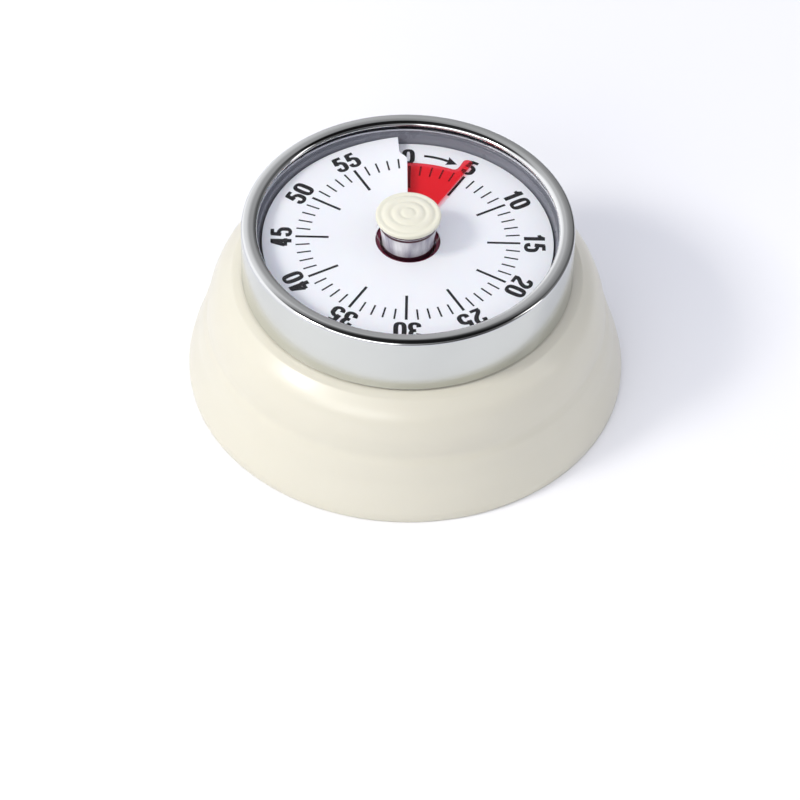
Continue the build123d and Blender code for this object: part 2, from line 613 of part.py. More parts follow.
with BuildPart() as knob_cap:
    cap_radii = [step * CAP_RIM_R / CAP_STEPS for step in range(CAP_STEPS + 1)]
    cap_line = [(radius, cap_height(radius)) for radius in cap_radii]
    with BuildSketch(Plane.XZ):
        with BuildLine():
            Spline(*cap_line)
            Line(cap_line[0], (0, CAP_BOTTOM_Z))
            Line((0, CAP_BOTTOM_Z), (CAP_R - CAP_EDGE_R, CAP_BOTTOM_Z))
            ThreePointArc((CAP_R - CAP_EDGE_R, CAP_BOTTOM_Z), (CAP_R, CAP_BOTTOM_Z + CAP_EDGE_R), cap_line[-1])
        make_face()
    revolve(axis=Axis.Z)
save(knob_cap, "knob_cap")

with BuildPart() as knob_barrel:
    with BuildSketch(Plane.XZ):
        with BuildLine():
            Polyline(
                (MAIN_ARBOR_R, BARREL_BOTTOM_Z), (BARREL_BOTTOM_R, BARREL_BOTTOM_Z),
                (BARREL_TOP_R, CAP_BOTTOM_Z), (0, CAP_BOTTOM_Z), (0, MAIN_ARBOR_TOP_Z),
                (MAIN_ARBOR_R, MAIN_ARBOR_TOP_Z), close=True,
            )
        make_face()
    revolve(axis=Axis.Z)
save(knob_barrel, "knob_barrel")

with BuildPart() as main_arbor:
    cylinder_at((0, 0), MAIN_PIVOT_R, LOWER_PLATE_Z + PIVOT_END, LOWER_PLATE_TOP_Z + PIVOT_GAP)
    cylinder_at((0, 0), MAIN_BODY_R, LOWER_PLATE_TOP_Z + PIVOT_GAP, UPPER_PLATE_Z - PIVOT_GAP)
    cylinder_at((0, 0), MAIN_ARBOR_R, UPPER_PLATE_Z - PIVOT_GAP, MAIN_ARBOR_TOP_Z)
save(main_arbor, "main_arbor")

with BuildPart() as great_wheel:
    great_points = tooth_points(GREAT_TEETH, GREAT_MODULE, WHEEL_TIP, WHEEL_TIP_SHARE, DIRECTION_1)
    with BuildSketch(Plane.XY.offset(GREAT_Z)):
        wheel_sketch(great_points, (0, 0), MAIN_BODY_R)
    extrude(amount=GREAT_THICK)
save(great_wheel, "great_wheel")

with BuildPart() as ratchet_wheel:
    with BuildSketch(Plane.XY.offset(GREAT_Z + GREAT_THICK)):
        wheel_sketch(escape_points(RATCHET_TEETH, RATCHET_R, 0.0), (0, 0), MAIN_BODY_R)
    extrude(amount=CLICK_THICK)
save(ratchet_wheel, "ratchet_wheel")

with BuildPart() as click:
    with BuildSketch(Plane.XY.offset(GREAT_Z + GREAT_THICK)):
        with BuildLine():
            Polyline((3.8, -0.5), (4.8, -2.6), (6.3, -2.6), (6.3, -1.2), (4.9, -0.3), close=True)
        make_face()
    extrude(amount=CLICK_THICK)
save(click, "click")

with BuildPart() as alarm_cam:
    with BuildSketch(Plane.XY.offset(TAIL_Z)):
        Circle(CAM_R)
        Circle(MAIN_BODY_R, mode=Mode.SUBTRACT)
        with Locations((0, CAM_R)):
            RegularPolygon(CAM_NOTCH_R, 3, rotation=-90, mode=Mode.SUBTRACT)
    extrude(amount=CAM_THICK)
save(alarm_cam, "alarm_cam")

with BuildPart() as arbor_collar:
    with BuildSketch(Plane.XY.offset(PLATE_TOP_Z + PIVOT_END)):
        Circle(COLLAR_R)
        Circle(MAIN_ARBOR_R, mode=Mode.SUBTRACT)
    extrude(amount=COLLAR_THICK)
save(arbor_collar, "arbor_collar")

# ---- red time disc ----
DISC_WIDTH = DISC_R - DISC_HOLE_R
with BuildPart() as time_disc:
    for step in range(DISC_STEPS + 1):
        disc_angle = DISC_REST - DISC_SPAN * (1 - step / DISC_STEPS)
        with BuildSketch(dial_plane(disc_angle, disc_height(disc_angle))):
            with Locations((DISC_HOLE_R + DISC_WIDTH / 2, 0)):
                Rectangle(DISC_WIDTH, FILM_THICK)
    loft()
    tab_z = disc_height(DISC_REST) - FILM_THICK / 2
    tab_x = (sin(radians(DISC_REST)), cos(radians(DISC_REST)), 0)
    tip_r = TAB_R - TAB_WIDTH / 2
    root_width = TAB_WIDTH + 1.3
    with BuildSketch(Plane(origin=(0, 0, tab_z), x_dir=tab_x, z_dir=(0, 0, 1))):
        with BuildLine():
            Line((TAB_ROOT_R, 0), (tip_r, 0))
            ThreePointArc((tip_r, 0), (TAB_R, TAB_WIDTH / 2), (tip_r, TAB_WIDTH))
            Line((tip_r, TAB_WIDTH), (DISC_R + TAB_FILLET, TAB_WIDTH))
            ThreePointArc(
                (DISC_R + TAB_FILLET, TAB_WIDTH), (DISC_R + 0.1, TAB_WIDTH + 0.35), (DISC_R - 0.25, root_width)
            )
            Polyline((DISC_R - 0.25, root_width), (TAB_ROOT_R, root_width), (TAB_ROOT_R, 0))
        make_face()
    extrude(amount=FILM_THICK)
save(time_disc, "time_disc")


# ---- going train: each arbor carries a pinion and a wheel ----
def plain_arbor(centre):
    """An arbor with a pivot at each end, made inside the current part."""
    cylinder_at(centre, PIVOT_R, LOWER_PLATE_Z + PIVOT_END, PLATE_TOP_Z - PIVOT_END)
    cylinder_at(centre, ARBOR_R, LOWER_PLATE_TOP_Z + PIVOT_END, UPPER_PLATE_Z - PIVOT_END)


def train_arbor(centre, pinion_module, pinion_phase, mating_z, pinion_height):
    """An arbor with a cut pinion that meets the wheel at the mating height."""
    pinion_points = tooth_points(PINION_TEETH, pinion_module, PINION_TIP, PINION_TIP_SHARE, pinion_phase)
    with BuildPart() as arbor:
        plain_arbor(centre)
        with BuildSketch(Plane.XY.offset(mating_z - PINION_OVERLAP)):
            wheel_sketch(pinion_points, centre, 0)
        extrude(amount=pinion_height)
    return arbor


def train_wheel(centre, phase, bottom_z):
    """A wheel pressed on its arbor, with one tooth's middle at the phase angle."""
    wheel_points = tooth_points(WHEEL_TEETH, TRAIN_MODULE, WHEEL_TIP, WHEEL_TIP_SHARE, phase)
    with BuildPart() as wheel:
        with BuildSketch(Plane.XY.offset(bottom_z)):
            wheel_sketch(wheel_points, centre, ARBOR_R)
        extrude(amount=WHEEL_THICK)
    return wheel


second_arbor = train_arbor(SECOND_AT, GREAT_MODULE, DIRECTION_1 + MESH_PHASE, GREAT_Z, 1.4)
save(second_arbor, "second_arbor")
second_wheel = train_wheel(SECOND_AT, DIRECTION_2, SECOND_WHEEL_Z)
save(second_wheel, "second_wheel")
third_arbor = train_arbor(THIRD_AT, TRAIN_MODULE, DIRECTION_2 + MESH_PHASE, SECOND_WHEEL_Z, 1.0)
save(third_arbor, "third_arbor")
third_wheel = train_wheel(THIRD_AT, DIRECTION_3, THIRD_WHEEL_Z)
save(third_wheel, "third_wheel")
escape_arbor = train_arbor(ESCAPE_AT, TRAIN_MODULE, DIRECTION_3 + MESH_PHASE, THIRD_WHEEL_Z, 1.0)
save(escape_arbor, "escape_arbor")

with BuildPart() as escape_wheel:
    escape_outline = escape_points(ESCAPE_TEETH, ESCAPE_R, DIRECTION_4)
    with BuildSketch(Plane.XY.offset(ESCAPE_WHEEL_Z)):
        wheel_sketch(escape_outline, ESCAPE_AT, ARBOR_R)
    extrude(amount=WHEEL_THICK)
save(escape_wheel, "escape_wheel")

with BuildPart() as pallet_arbor:
    plain_arbor(PALLET_AT)
save(pallet_arbor, "pallet_arbor")

# The anchor spans two and a half teeth. Its two pins hang just outside the tooth tips.
PIN_PLACE_R = ESCAPE_R + PIN_GAP + PIN_R
PINS_AT = [plan(PIN_PLACE_R, DIRECTION_4 + side * PIN_SPREAD, ESCAPE_AT) for side in (-1, 1)]
with BuildPart() as pallet_anchor:
    with BuildSketch(Plane.XY.offset(ANCHOR_Z)):
        for pin in PINS_AT:
            with BuildLine():
                Line(PALLET_AT, pin)
            trace(line_width=ANCHOR_ARM_WIDTH)
            with Locations(pin):
                Circle(2 * PIN_R)
        with Locations(PALLET_AT):
            Circle(ANCHOR_HUB_R)
    extrude(amount=ANCHOR_THICK)
    cylinder_at(PALLET_AT, ARBOR_R, ANCHOR_Z, ANCHOR_Z + ANCHOR_THICK, Mode.SUBTRACT)
    for pin in PINS_AT:
        cylinder_at(pin, PIN_R, ESCAPE_WHEEL_Z - 0.1, ANCHOR_Z)
save(pallet_anchor, "pallet_anchor")

with BuildPart() as balance_bar:
    with BuildSketch(Plane.XY.offset(BALANCE_Z)):
        with Locations(PALLET_AT):
            SlotOverall(2 * BALANCE_REACH, BALANCE_WIDTH, rotation=BALANCE_ANGLE)
            Circle(BALANCE_HUB_R)
        with Locations(PALLET_AT):
            Circle(ARBOR_R, mode=Mode.SUBTRACT)
    extrude(amount=BALANCE_THICK)
    for side in (BALANCE_ANGLE, BALANCE_ANGLE + 180.0):
        weight_at = plan(BALANCE_REACH - BALANCE_WEIGHT_R, side, PALLET_AT)
        cylinder_at(weight_at, BALANCE_WEIGHT_R, BALANCE_Z, BALANCE_Z + BALANCE_WEIGHT_HEIGHT)
save(balance_bar, "balance_bar")


# ---- hammer ----
def hammer_lever(end_at, bottom_z, thickness):
    """A flat lever from the hammer arbor to an end point."""
    with BuildPart() as lever:
        with BuildSketch(Plane.XY.offset(bottom_z)):
            with BuildLine():
                Line(HAMMER_AT, end_at)
            trace(line_width=HAMMER_WIDTH)
            with Locations(HAMMER_AT):
                Circle(HAMMER_HUB_R)
                Circle(ARBOR_R, mode=Mode.SUBTRACT)
        extrude(amount=thickness)
    return lever


with BuildPart() as hammer_arbor:
    cylinder_at(HAMMER_AT, ARBOR_R, ARM_Z - 0.2, TAIL_Z + TAIL_THICK + 0.2)
    cylinder_at(HAMMER_AT, HAMMER_COLLAR_R, LOWER_PLATE_Z - 0.6, LOWER_PLATE_Z - PIVOT_END)
save(hammer_arbor, "hammer_arbor")

hammer_tail = hammer_lever(TAIL_END_AT, TAIL_Z, TAIL_THICK)
save(hammer_tail, "hammer_tail")

hammer_arm = hammer_lever(HAMMER_HEAD_AT, ARM_Z, ARM_THICK)
with hammer_arm:
    cylinder_at(HAMMER_HEAD_AT, HAMMER_PIN_R, ARM_Z, ARM_Z + ARM_THICK, Mode.SUBTRACT)
save(hammer_arm, "hammer_arm")

with BuildPart() as hammer_head:
    rivet_z = ARM_Z + ARM_THICK
    cylinder_at(HAMMER_HEAD_AT, HAMMER_HEAD_R, ARM_Z - HAMMER_HEAD_HEIGHT, ARM_Z)
    cylinder_at(HAMMER_HEAD_AT, HAMMER_PIN_R, ARM_Z, rivet_z)
    cylinder_at(HAMMER_HEAD_AT, HAMMER_RIVET_R, rivet_z, rivet_z + HAMMER_RIVET_THICK)
save(hammer_head, "hammer_head")

# Coil spring around the hammer arbor, below the plate.
with BuildPart() as hammer_spring:
    with BuildLine():
        coil = Helix(pitch=COIL_PITCH, height=COIL_HEIGHT, radius=COIL_R, center=(*HAMMER_AT, COIL_BOTTOM_Z))
    with BuildSketch(Plane(origin=coil @ 0, z_dir=coil % 0)):
        Circle(COIL_WIRE_R)
    sweep(is_frenet=True)
save(hammer_spring, "hammer_spring")
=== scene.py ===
"""Looks of the clockwork kitchen timer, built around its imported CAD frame.

Outlines and radii are in millimetres and become metres in build_mesh(). Dial angles are
in degrees clockwise from 12 o'clock (+Y), as on the CAD part. The camera, the lights, the
floor and the materials are in metres.
"""

import json
from math import atan2, cos, degrees, exp, hypot, pi, radians, sin, sqrt

import bpy
import numpy as np
from mathutils import Matrix, Vector


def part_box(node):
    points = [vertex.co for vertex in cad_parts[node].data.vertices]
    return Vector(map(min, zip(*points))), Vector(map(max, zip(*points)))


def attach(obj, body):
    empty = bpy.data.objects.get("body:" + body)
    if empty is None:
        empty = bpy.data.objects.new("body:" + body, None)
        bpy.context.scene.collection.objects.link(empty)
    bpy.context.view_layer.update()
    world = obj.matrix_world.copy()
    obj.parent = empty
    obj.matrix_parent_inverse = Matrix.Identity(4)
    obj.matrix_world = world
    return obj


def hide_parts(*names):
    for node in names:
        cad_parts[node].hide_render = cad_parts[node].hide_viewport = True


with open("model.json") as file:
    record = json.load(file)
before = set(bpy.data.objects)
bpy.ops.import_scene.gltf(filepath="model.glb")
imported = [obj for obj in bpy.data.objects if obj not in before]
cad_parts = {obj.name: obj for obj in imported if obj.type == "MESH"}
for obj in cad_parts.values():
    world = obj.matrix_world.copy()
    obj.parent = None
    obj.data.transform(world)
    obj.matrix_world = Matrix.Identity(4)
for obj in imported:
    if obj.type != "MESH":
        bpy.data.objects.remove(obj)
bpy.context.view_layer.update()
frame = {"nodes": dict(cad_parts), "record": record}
MM = 0.001


def top_of(node):
    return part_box(node)[1].z / MM


def bottom_of(node):
    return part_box(node)[0].z / MM


def radius_of(node):
    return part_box(node)[1].x / MM


# ---- sizes taken from the frame ----
SKIN = 0.015                # case and cap stay this far inside the CAD's outer circle
BASE_R = radius_of("body_shell") - SKIN
BASE_BOTTOM = bottom_of("body_shell")
NECK_TOP = top_of("body_shell")
BEZEL_R = radius_of("bezel_ring")
BEZEL_TOP = top_of("bezel_ring")
BEZEL_BOTTOM = bottom_of("bezel_ring")
CRYSTAL_R = radius_of("crystal")
CRYSTAL_TOP = top_of("crystal")
CRYSTAL_BOTTOM = bottom_of("crystal")
RING_BOTTOM = bottom_of("dial_ring")
CAP_R = radius_of("knob_cap") - SKIN
CAP_TOP = top_of("knob_cap")
CAP_BOTTOM = bottom_of("knob_cap")
BARREL_TOP = top_of("knob_barrel")
BARREL_BOTTOM = bottom_of("knob_barrel")
FOOT_R = radius_of("foot_ring")
FOOT_TOP = top_of("foot_ring")
MAGNET_R = radius_of("magnet_ring")
MAGNET_TOP = top_of("magnet_ring")
MAGNET_BOTTOM = bottom_of("magnet_ring")

# ---- case ----
CASE_SIDE = [               # share of the base radius, height
    (1.0, 1.6), (0.9829, 4.0), (0.9557, 6.7), (0.9443, 8.2), (0.9286, 9.9),
    (0.91, 11.2), (0.9057, 12.7), (0.8937, 15.0), (0.8571, 18.0), (0.7886, 20.3),
]
CASE_WALL = 1.8
CASE_EDGE = 0.2             # softened edge of the foot
CASE_EDGE_MIDDLE = 0.06     # how far in its middle point lies
CASE_INSIDE_TOP = 18.2      # the inside follows the side up to here
SHOULDER_TOP = 20.3
SHOULDER_UNDER = 18.6
SHOULDER_UNDER_R = 26.1
NECK_R = 25.3
NECK_BORE_R = 24.3
NECK_PAINTED_SHADE_Z = 21.5          # painted shade: above this the neck is painted dark, standing in for the shadow inside the bezel

# ---- bezel ----
BEZEL_WALL = 0.85
BEZEL_EDGE = 0.28           # bottom edge
BEZEL_LIP_R = 24.4          # wall of the shadow gap, and middle of the rolled lip above it
BEZEL_LIP_GAP = 0.42        # shadow gap between the crystal and the lip
BEZEL_SHOULDER_Z = 29.95    # here the wall starts to turn inwards
BAND_DEPTH = 0.4            # the satin band is this near the outer wall
BAND_LOW, BAND_HIGH = 21.0, 29.9

# ---- crystal and the ring under it ----
CRYSTAL_HOLE_R = 5.0
CRYSTAL_EDGE = 0.1
RING_HOLE_R = 6.0
RING_FLOOR = RING_BOTTOM + 1.15
RING_FLOOR_THICK = 0.55
RING_SKIRT_R = 23.5
RING_R = 24.2
RING_SLOPE = [              # radius, height, fillet: down the slope that faces the dial
    (23.92, NECK_TOP, 0.08), (23.85, 28.28, 0.12), (23.42, 28.2, 0.1), (23.25, 27.7, 0.1),
    (22.97, 26.2, 0.1),
]
RING_PAINTED_HIGHLIGHT_DEPTH = 0.05             # painted highlight: the ring's top face is painted pale down to this depth

# ---- film dial and disc, as on the CAD part ----
FILM_THICK = 0.18
DIAL_R = 22.8
DIAL_HOLE_R = 5.1
DIAL_LOW = 26.63
DIAL_RISE = 0.95
DIAL_CURL = 0.82
DIAL_CURL_START = 325.0
DIAL_START = -7.0
DIAL_END = 358.7
DIAL_COLUMNS = 260
NOTCH_INNER_R = 17.4
NOTCH_OUTER_R = 19.5
NOTCH_END = 355.0
DISC_R = 17.7
DISC_HOLE_R = 4.45
DISC_SPAN = 357.0
DISC_ZERO = 27.2
DISC_PITCH = 1.2
DISC_REST = 29.6
DISC_ROWS = 14
DISC_PAINTED_SHADE_R = 5.3          # painted shade: the disc is darker inside this radius, round the knob
TAB_R = 20.8
TAB_HALF = 0.75
TAB_FILLET = 0.9
TAB_MIDDLE_R = TAB_R - 1.0  # radius at which distances along the tab are measured

# ---- printing ----
INK_LIFT = 0.012
INK_THICK = 0.01
MINUTE = 6.0                # degrees
TICK_OUTER_R = 17.6
MAJOR_TICK = 12.4, 0.215    # inner radius, half width
MINOR_TICK = 15.4, 0.14
ARROW_START, ARROW_NECK, ARROW_TIP = 6.6, 18.2, 22.8    # dial angles
ARROW_R = 20.1
ARROW_HALF = 0.25
ARROW_HEAD_HALF = 0.95
ARROW_DROOP = 0.0022        # the shaft sinks inwards by this times the angle squared
DIGIT_WIDTH = 2.07
DIGIT_HEIGHT = 3.4
DIGIT_GAP = 0.17
DIGIT_INNER_R = 18.12
NUMERAL_LAG = 0.6           # the numerals stand this many degrees before their ticks
STEM = 0.38                 # half thickness of upright strokes
BAR = 0.28                  # half thickness of level strokes

# ---- knob ----
CAP_RIM_R = 4.72
CAP_RIM_DROP = 0.12
CAP_UNDER_R = 4.3
CAP_DOME = 0.45
GROOVE_FIRST_R, GROOVE_STEP = 1.2, 1.5
GROOVE_WIDTH, GROOVE_DEPTH = 0.36, 0.15
BARREL_BORE_R = 1.0
BARREL_FOOT_R = 3.95
BARREL_NECK_R = 4.6
BARREL_FLOOR = 0.75         # thickness under the cap
BARREL_LOW_R, BARREL_LOW_Z = 4.12, 27.3
BARREL_SKIN_R = 3.9         # faces outside this radius are the barrel's side
PAINTED_SHADE_LINES = [(-1.2, -0.7), (-0.56, -0.01)]      # painted shade: dark lines, from the barrel's top

# ---- back ----
FOOT_WIDTH = 2.6
MAGNET_HOLE_R = 5.0


# ---------------------------------------------------------------- mesh building
def build_mesh(name, points, faces, body, stands_for=(), material_slot=None, sharp=35.0):
    """A smooth-shaded piece from points in millimetres, riding on a body."""
    mesh = bpy.data.meshes.new(name)
    mesh.from_pydata([Vector(p) * MM for p in points], [], faces)
    mesh.validate()
    mesh.polygons.foreach_set("use_smooth", [True] * len(mesh.polygons))
    mesh.set_sharp_from_angle(angle=radians(sharp))
    piece = bpy.data.objects.new(name, mesh)
    bpy.context.scene.collection.objects.link(piece)
    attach(piece, body)
    if stands_for:
        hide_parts(*stands_for)
    return piece


def rounded(corners, steps=6):
    """Outline of (radius, height) from corners of (radius, height, fillet)."""
    count = len(corners)
    outline = []
    for index, (r, z, fillet) in enumerate(corners):
        if fillet == 0:
            outline.append((r, z))
            continue
        here = Vector((r, z))
        before = Vector(corners[index - 1][:2]) - here
        after = Vector(corners[(index + 1) % count][:2]) - here
        back, ahead = before.normalized(), after.normalized()
        half = back.angle(ahead) / 2
        reach = min(fillet / np.tan(half), 0.49 * before.length, 0.49 * after.length)
        centre = here + (back + ahead).normalized() * (reach / cos(half))
        start, end = here + back * reach - centre, here + ahead * reach - centre
        for step in range(steps + 1):
            spoke = start.slerp(end, step / steps, start.normalized())
            outline.append(tuple(centre + spoke * start.length))
    return outline


def arc(centre, reach, start, end, steps=14):
    """Part of an ellipse in the outline plane, between two angles in degrees."""
    turns = np.linspace(radians(start), radians(end), steps)
    return [(centre[0] + reach[0] * cos(t), centre[1] + reach[1] * sin(t)) for t in turns]


def smooth_curve(points, steps=8):
    """Catmull-Rom curve through a list of points in a plane."""
    inner = [np.array(p) for p in points]
    knots = [2 * inner[0] - inner[1], *inner, 2 * inner[-1] - inner[-2]]
    curve = []
    for a, b, c, d in zip(knots, knots[1:], knots[2:], knots[3:]):
        for t in np.linspace(0, 1, steps, endpoint=False):
            bend = (2 * a - 5 * b + 4 * c - d) * t**2 + (3 * b - a - 3 * c + d) * t**3
            curve.append(tuple(0.5 * (2 * b + (c - a) * t + bend)))
    return curve + [points[-1]]


def lathe(name, outline, body, stands_for=(), material_slot=None, segments=240, sharp=35.0):
    """A closed outline of (radius, height) turned about the axis."""
    turns = [2 * pi * k / segments for k in range(segments)]
    points, faces, rings = [], [], []
    for r, z in outline:
        if r < 1e-6:
            rings.append([len(points)] * segments)
            points.append((0, 0, z))
        else:
            rings.append(list(range(len(points), len(points) + segments)))
            points += [(r * cos(t), r * sin(t), z) for t in turns]
    for low, high in zip(rings, rings[1:] + rings[:1]):
        for k in range(segments):
            beyond = (k + 1) % segments
            corners = list(dict.fromkeys([low[k], low[beyond], high[beyond], high[k]]))
            if len(corners) > 2:
                faces.append(corners)
    return build_mesh(name, points, faces, body, stands_for, material_slot, sharp)


def on_dial(radius, dial_angle, height):
    return (radius * sin(radians(dial_angle)), radius * cos(radians(dial_angle)), height)


def film(name, columns, height, body, stands_for, material_slot):
    """A thin closed sheet. Each column is a list of (radius, dial angle), inner end first.

    Gives the piece and the number of its first edge face.
    """
    rows, last = len(columns[0]), len(columns) - 1
    size = len(columns) * rows
    points, faces = [], []
    for side in (0.5, -0.5):
        for column in columns:
            points += [on_dial(r, a, height(a) + side * FILM_THICK) for r, a in column]

    def at(column, row, side):
        return side * size + column * rows + row

    for c in range(last):
        for r in range(rows - 1):
            faces.append((at(c, r, 0), at(c, r + 1, 0), at(c + 1, r + 1, 0), at(c + 1, r, 0)))
            faces.append((at(c, r, 1), at(c + 1, r, 1), at(c + 1, r + 1, 1), at(c, r + 1, 1)))
    first_edge = len(faces)
    rim = [(0, r) for r in range(rows)]
    rim += [(c, rows - 1) for c in range(1, last + 1)]
    rim += [(last, r) for r in range(rows - 2, -1, -1)]
    rim += [(c, 0) for c in range(last - 1, 0, -1)]
    for (c0, r0), (c1, r1) in zip(rim, rim[1:] + rim[:1]):
        faces.append((at(c0, r0, 0), at(c0, r0, 1), at(c1, r1, 1), at(c1, r1, 0)))
    return build_mesh(name, points, faces, body, stands_for, material_slot), first_edge


def shade_faces(piece, material, belongs):
    """Give a second material to the faces whose middle (in millimetres) belongs."""
    piece.data.materials.append(material)
    last = len(piece.data.materials) - 1
    for polygon in piece.data.polygons:
        if belongs(*(polygon.center / MM)):
            polygon.material_index = last


# ---------------------------------------------------------------- materials
class Shader:
    """A small helper that builds one procedural material."""

    def __init__(self, name):
        self.material = bpy.data.materials.new(name)
        self.material.use_nodes = True
        self.tree = self.material.node_tree
        self.main = self.tree.nodes["Principled BSDF"]
        self.out = self.tree.nodes["Material Output"]

    def set(self, **values):
        for key, value in values.items():
            self.main.inputs[key.replace("_", " ")].default_value = value

    def node(self, kind, **values):
        made = self.tree.nodes.new(kind)
        for key, value in values.items():
            if key in made.inputs:
                made.inputs[key].default_value = value
            else:
                setattr(made, key, value)
        return made

    def link(self, source, target):
        self.tree.links.new(source, target)

    def noise(self, scale, detail, stretch=None):
        """Noise fixed to the piece, optionally with its scale stretched along the axes."""
        texture = self.node("ShaderNodeTexNoise", Scale=scale, Detail=detail)
        where = self.node("ShaderNodeTexCoord").outputs["Object"]
        if stretch:
            mapping = self.node("ShaderNodeMapping", Scale=stretch)
            self.link(where, mapping.inputs["Vector"])
            where = mapping.outputs["Vector"]
        self.link(where, texture.inputs["Vector"])
        return texture.outputs["Fac"]

    def spread(self, source, low, high):
        """Maps the useful middle of a noise onto low..high."""
        ramp = self.node("ShaderNodeMapRange")
        for key, value in (("From Min", 0.3), ("From Max", 0.7), ("To Min", low), ("To Max", high)):
            ramp.inputs[key].default_value = value
        self.link(source, ramp.inputs["Value"])
        return ramp.outputs["Result"]

    def tint(self, source, first, second):
        """Base colour drifting between two colours."""
        mix = self.node("ShaderNodeMix", data_type="RGBA")
        self.link(self.spread(source, 0.0, 1.0), mix.inputs["Factor"])
        mix.inputs[6].default_value = (*first, 1)
        mix.inputs[7].default_value = (*second, 1)
        self.link(mix.outputs[2], self.main.inputs["Base Color"])

    def rough(self, source, low, high):
        self.link(self.spread(source, low, high), self.main.inputs["Roughness"])

    def bump(self, source, depth):
        """Bump of a real depth in metres."""
        bump = self.node("ShaderNodeBump", Strength=1.0, Distance=depth)
        self.link(source, bump.inputs["Height"])
        self.link(bump.outputs["Normal"], self.main.inputs["Normal"])

    def mix_out(self, first, second, share):
        """Surface of two shaders. The share of the second is a number or a socket."""
        mix = self.node("ShaderNodeMixShader")
        if isinstance(share, float):
            mix.inputs[0].default_value = share
        else:
            self.link(share, mix.inputs[0])
        self.link(first.outputs[0], mix.inputs[1])
        self.link(second.outputs[0], mix.inputs[2])
        self.link(mix.outputs[0], self.out.inputs["Surface"])

    def finish(self, *pieces):
        for piece in pieces:
            piece.data.materials.clear()
            piece.data.materials.append(self.material)


def moulded_plastic(name, light, dark, roughness, coat):
    """Glossy moulded plastic: faint colour drift and a faint orange-peel skin."""
    s = Shader(name)
    s.set(Coat_Weight=coat, Coat_Roughness=0.08, Subsurface_Weight=0.06, Subsurface_Scale=0.002)
    s.set(Subsurface_Radius=(1.0, 0.8, 0.5))
    s.tint(s.noise(38.0, 5.0), light, dark)
    s.rough(s.noise(260.0, 2.0), roughness * 0.97, roughness * 1.05)
    s.bump(s.noise(700.0, 1.0), 0.0000006)
    return s


def polished_chrome(name, colour, roughness, haze=(0.7, 1.5)):
    """Plated metal: bright, with faint haze patches and hairline marks round the ring."""
    s = Shader(name)
    s.set(Metallic=1.0)
    s.tint(s.noise(60.0, 3.0), colour, tuple(0.94 * c for c in colour))
    s.rough(s.noise(240.0, 6.0), roughness * haze[0], roughness * haze[1])
    s.bump(s.noise(500.0, 3.0, stretch=(1.0, 1.0, 9.0)), 0.000002)
    return s


def machined_metal(name, light, dark, roughness):
    """Turned or rolled metal for the movement."""
    s = Shader(name)
    s.set(Metallic=1.0)
    s.tint(s.noise(120.0, 5.0), light, dark)
    s.rough(s.noise(700.0, 5.0, stretch=(1.0, 8.0, 1.0)), roughness * 0.7, roughness * 1.4)
    s.bump(s.noise(900.0, 4.0, stretch=(1.0, 10.0, 1.0)), 0.00001)
    return s


def matt_moulding(name, light, dark, roughness):
    """Plain plastic, rubber or ferrite with a fine grain; also makes the flat patches of painted
    shade and painted highlight.
    """
    s = Shader(name)
    s.tint(s.noise(90.0, 5.0), light, dark)
    s.rough(s.noise(300.0, 5.0), roughness * 0.85, roughness * 1.2)
    s.bump(s.noise(1400.0, 4.0), 0.00002)
    return s


def dial_paint():
    """White printed film with a faint cool drift and a satin skin."""
    s = Shader("dial_white")
    s.set(Subsurface_Weight=0.1, Subsurface_Scale=0.0004)
    s.tint(s.noise(45.0, 3.0), (0.89, 0.88, 0.885), (0.865, 0.86, 0.875))
    s.rough(s.noise(400.0, 4.0), 0.34, 0.48)
    s.bump(s.noise(1300.0, 3.0), 0.000004)
    return s


def tinted_film(name, see_through, body_colour, clear_share, roughness):
    """Clear dyed film: partly seen through, partly its own colour, with a glossy skin."""
    s = Shader(name)
    s.rough(s.noise(300.0, 4.0), roughness * 0.7, roughness * 1.4)
    s.tint(s.noise(70.0, 3.0), body_colour, tuple(0.88 * c for c in body_colour))
    s.bump(s.noise(700.0, 3.0), 0.000004)
    clear = s.node("ShaderNodeBsdfTransparent", Color=(*see_through, 1))
    s.mix_out(s.main, clear, clear_share)
    return s


def clear_pane():
    """Flat clear cover: light passes straight through, and the mirror skin grows at a glance."""
    s = Shader("clear_pane")
    gloss = s.node("ShaderNodeBsdfGlossy", Color=(1, 1, 1, 1))
    s.link(s.spread(s.noise(120.0, 5.0), 0.01, 0.05), gloss.inputs["Roughness"])
    clear = s.node("ShaderNodeBsdfTransparent", Color=(0.985, 0.988, 0.99, 1))
    facing = s.node("ShaderNodeLayerWeight", Blend=0.5)
    steep = s.node("ShaderNodeMath", operation="POWER")
    steep.inputs[1].default_value = 5.0
    s.link(facing.outputs["Facing"], steep.inputs[0])
    share = s.node("ShaderNodeMapRange")
    share.inputs["To Min"].default_value = 0.006
    share.inputs["To Max"].default_value = 0.6
    s.link(steep.outputs[0], share.inputs["Value"])
    s.mix_out(clear, gloss, share.outputs["Result"])
    s.tree.nodes.remove(s.main)
    return s


def clear_acrylic():
    """Clear plastic barrel: painted reflections, pale and dark streaks that run up its side."""
    s = Shader("clear_acrylic")
    s.set(Roughness=0.07, Coat_Weight=0.3, Coat_Roughness=0.03)
    # painted reflection: pale and dark streaks up the side stand in for what the clear plastic
    # reflects and refracts
    s.tint(s.noise(520.0, 3.0, stretch=(1.0, 1.0, 0.12)), (1.0, 1.0, 1.0), (0.30, 0.28, 0.36))
    s.bump(s.noise(600.0, 2.0), 0.000006)
    s.mix_out(s.main, s.node("ShaderNodeBsdfTransparent", Color=(0.93, 0.92, 0.96, 1)), 0.15)
    return s


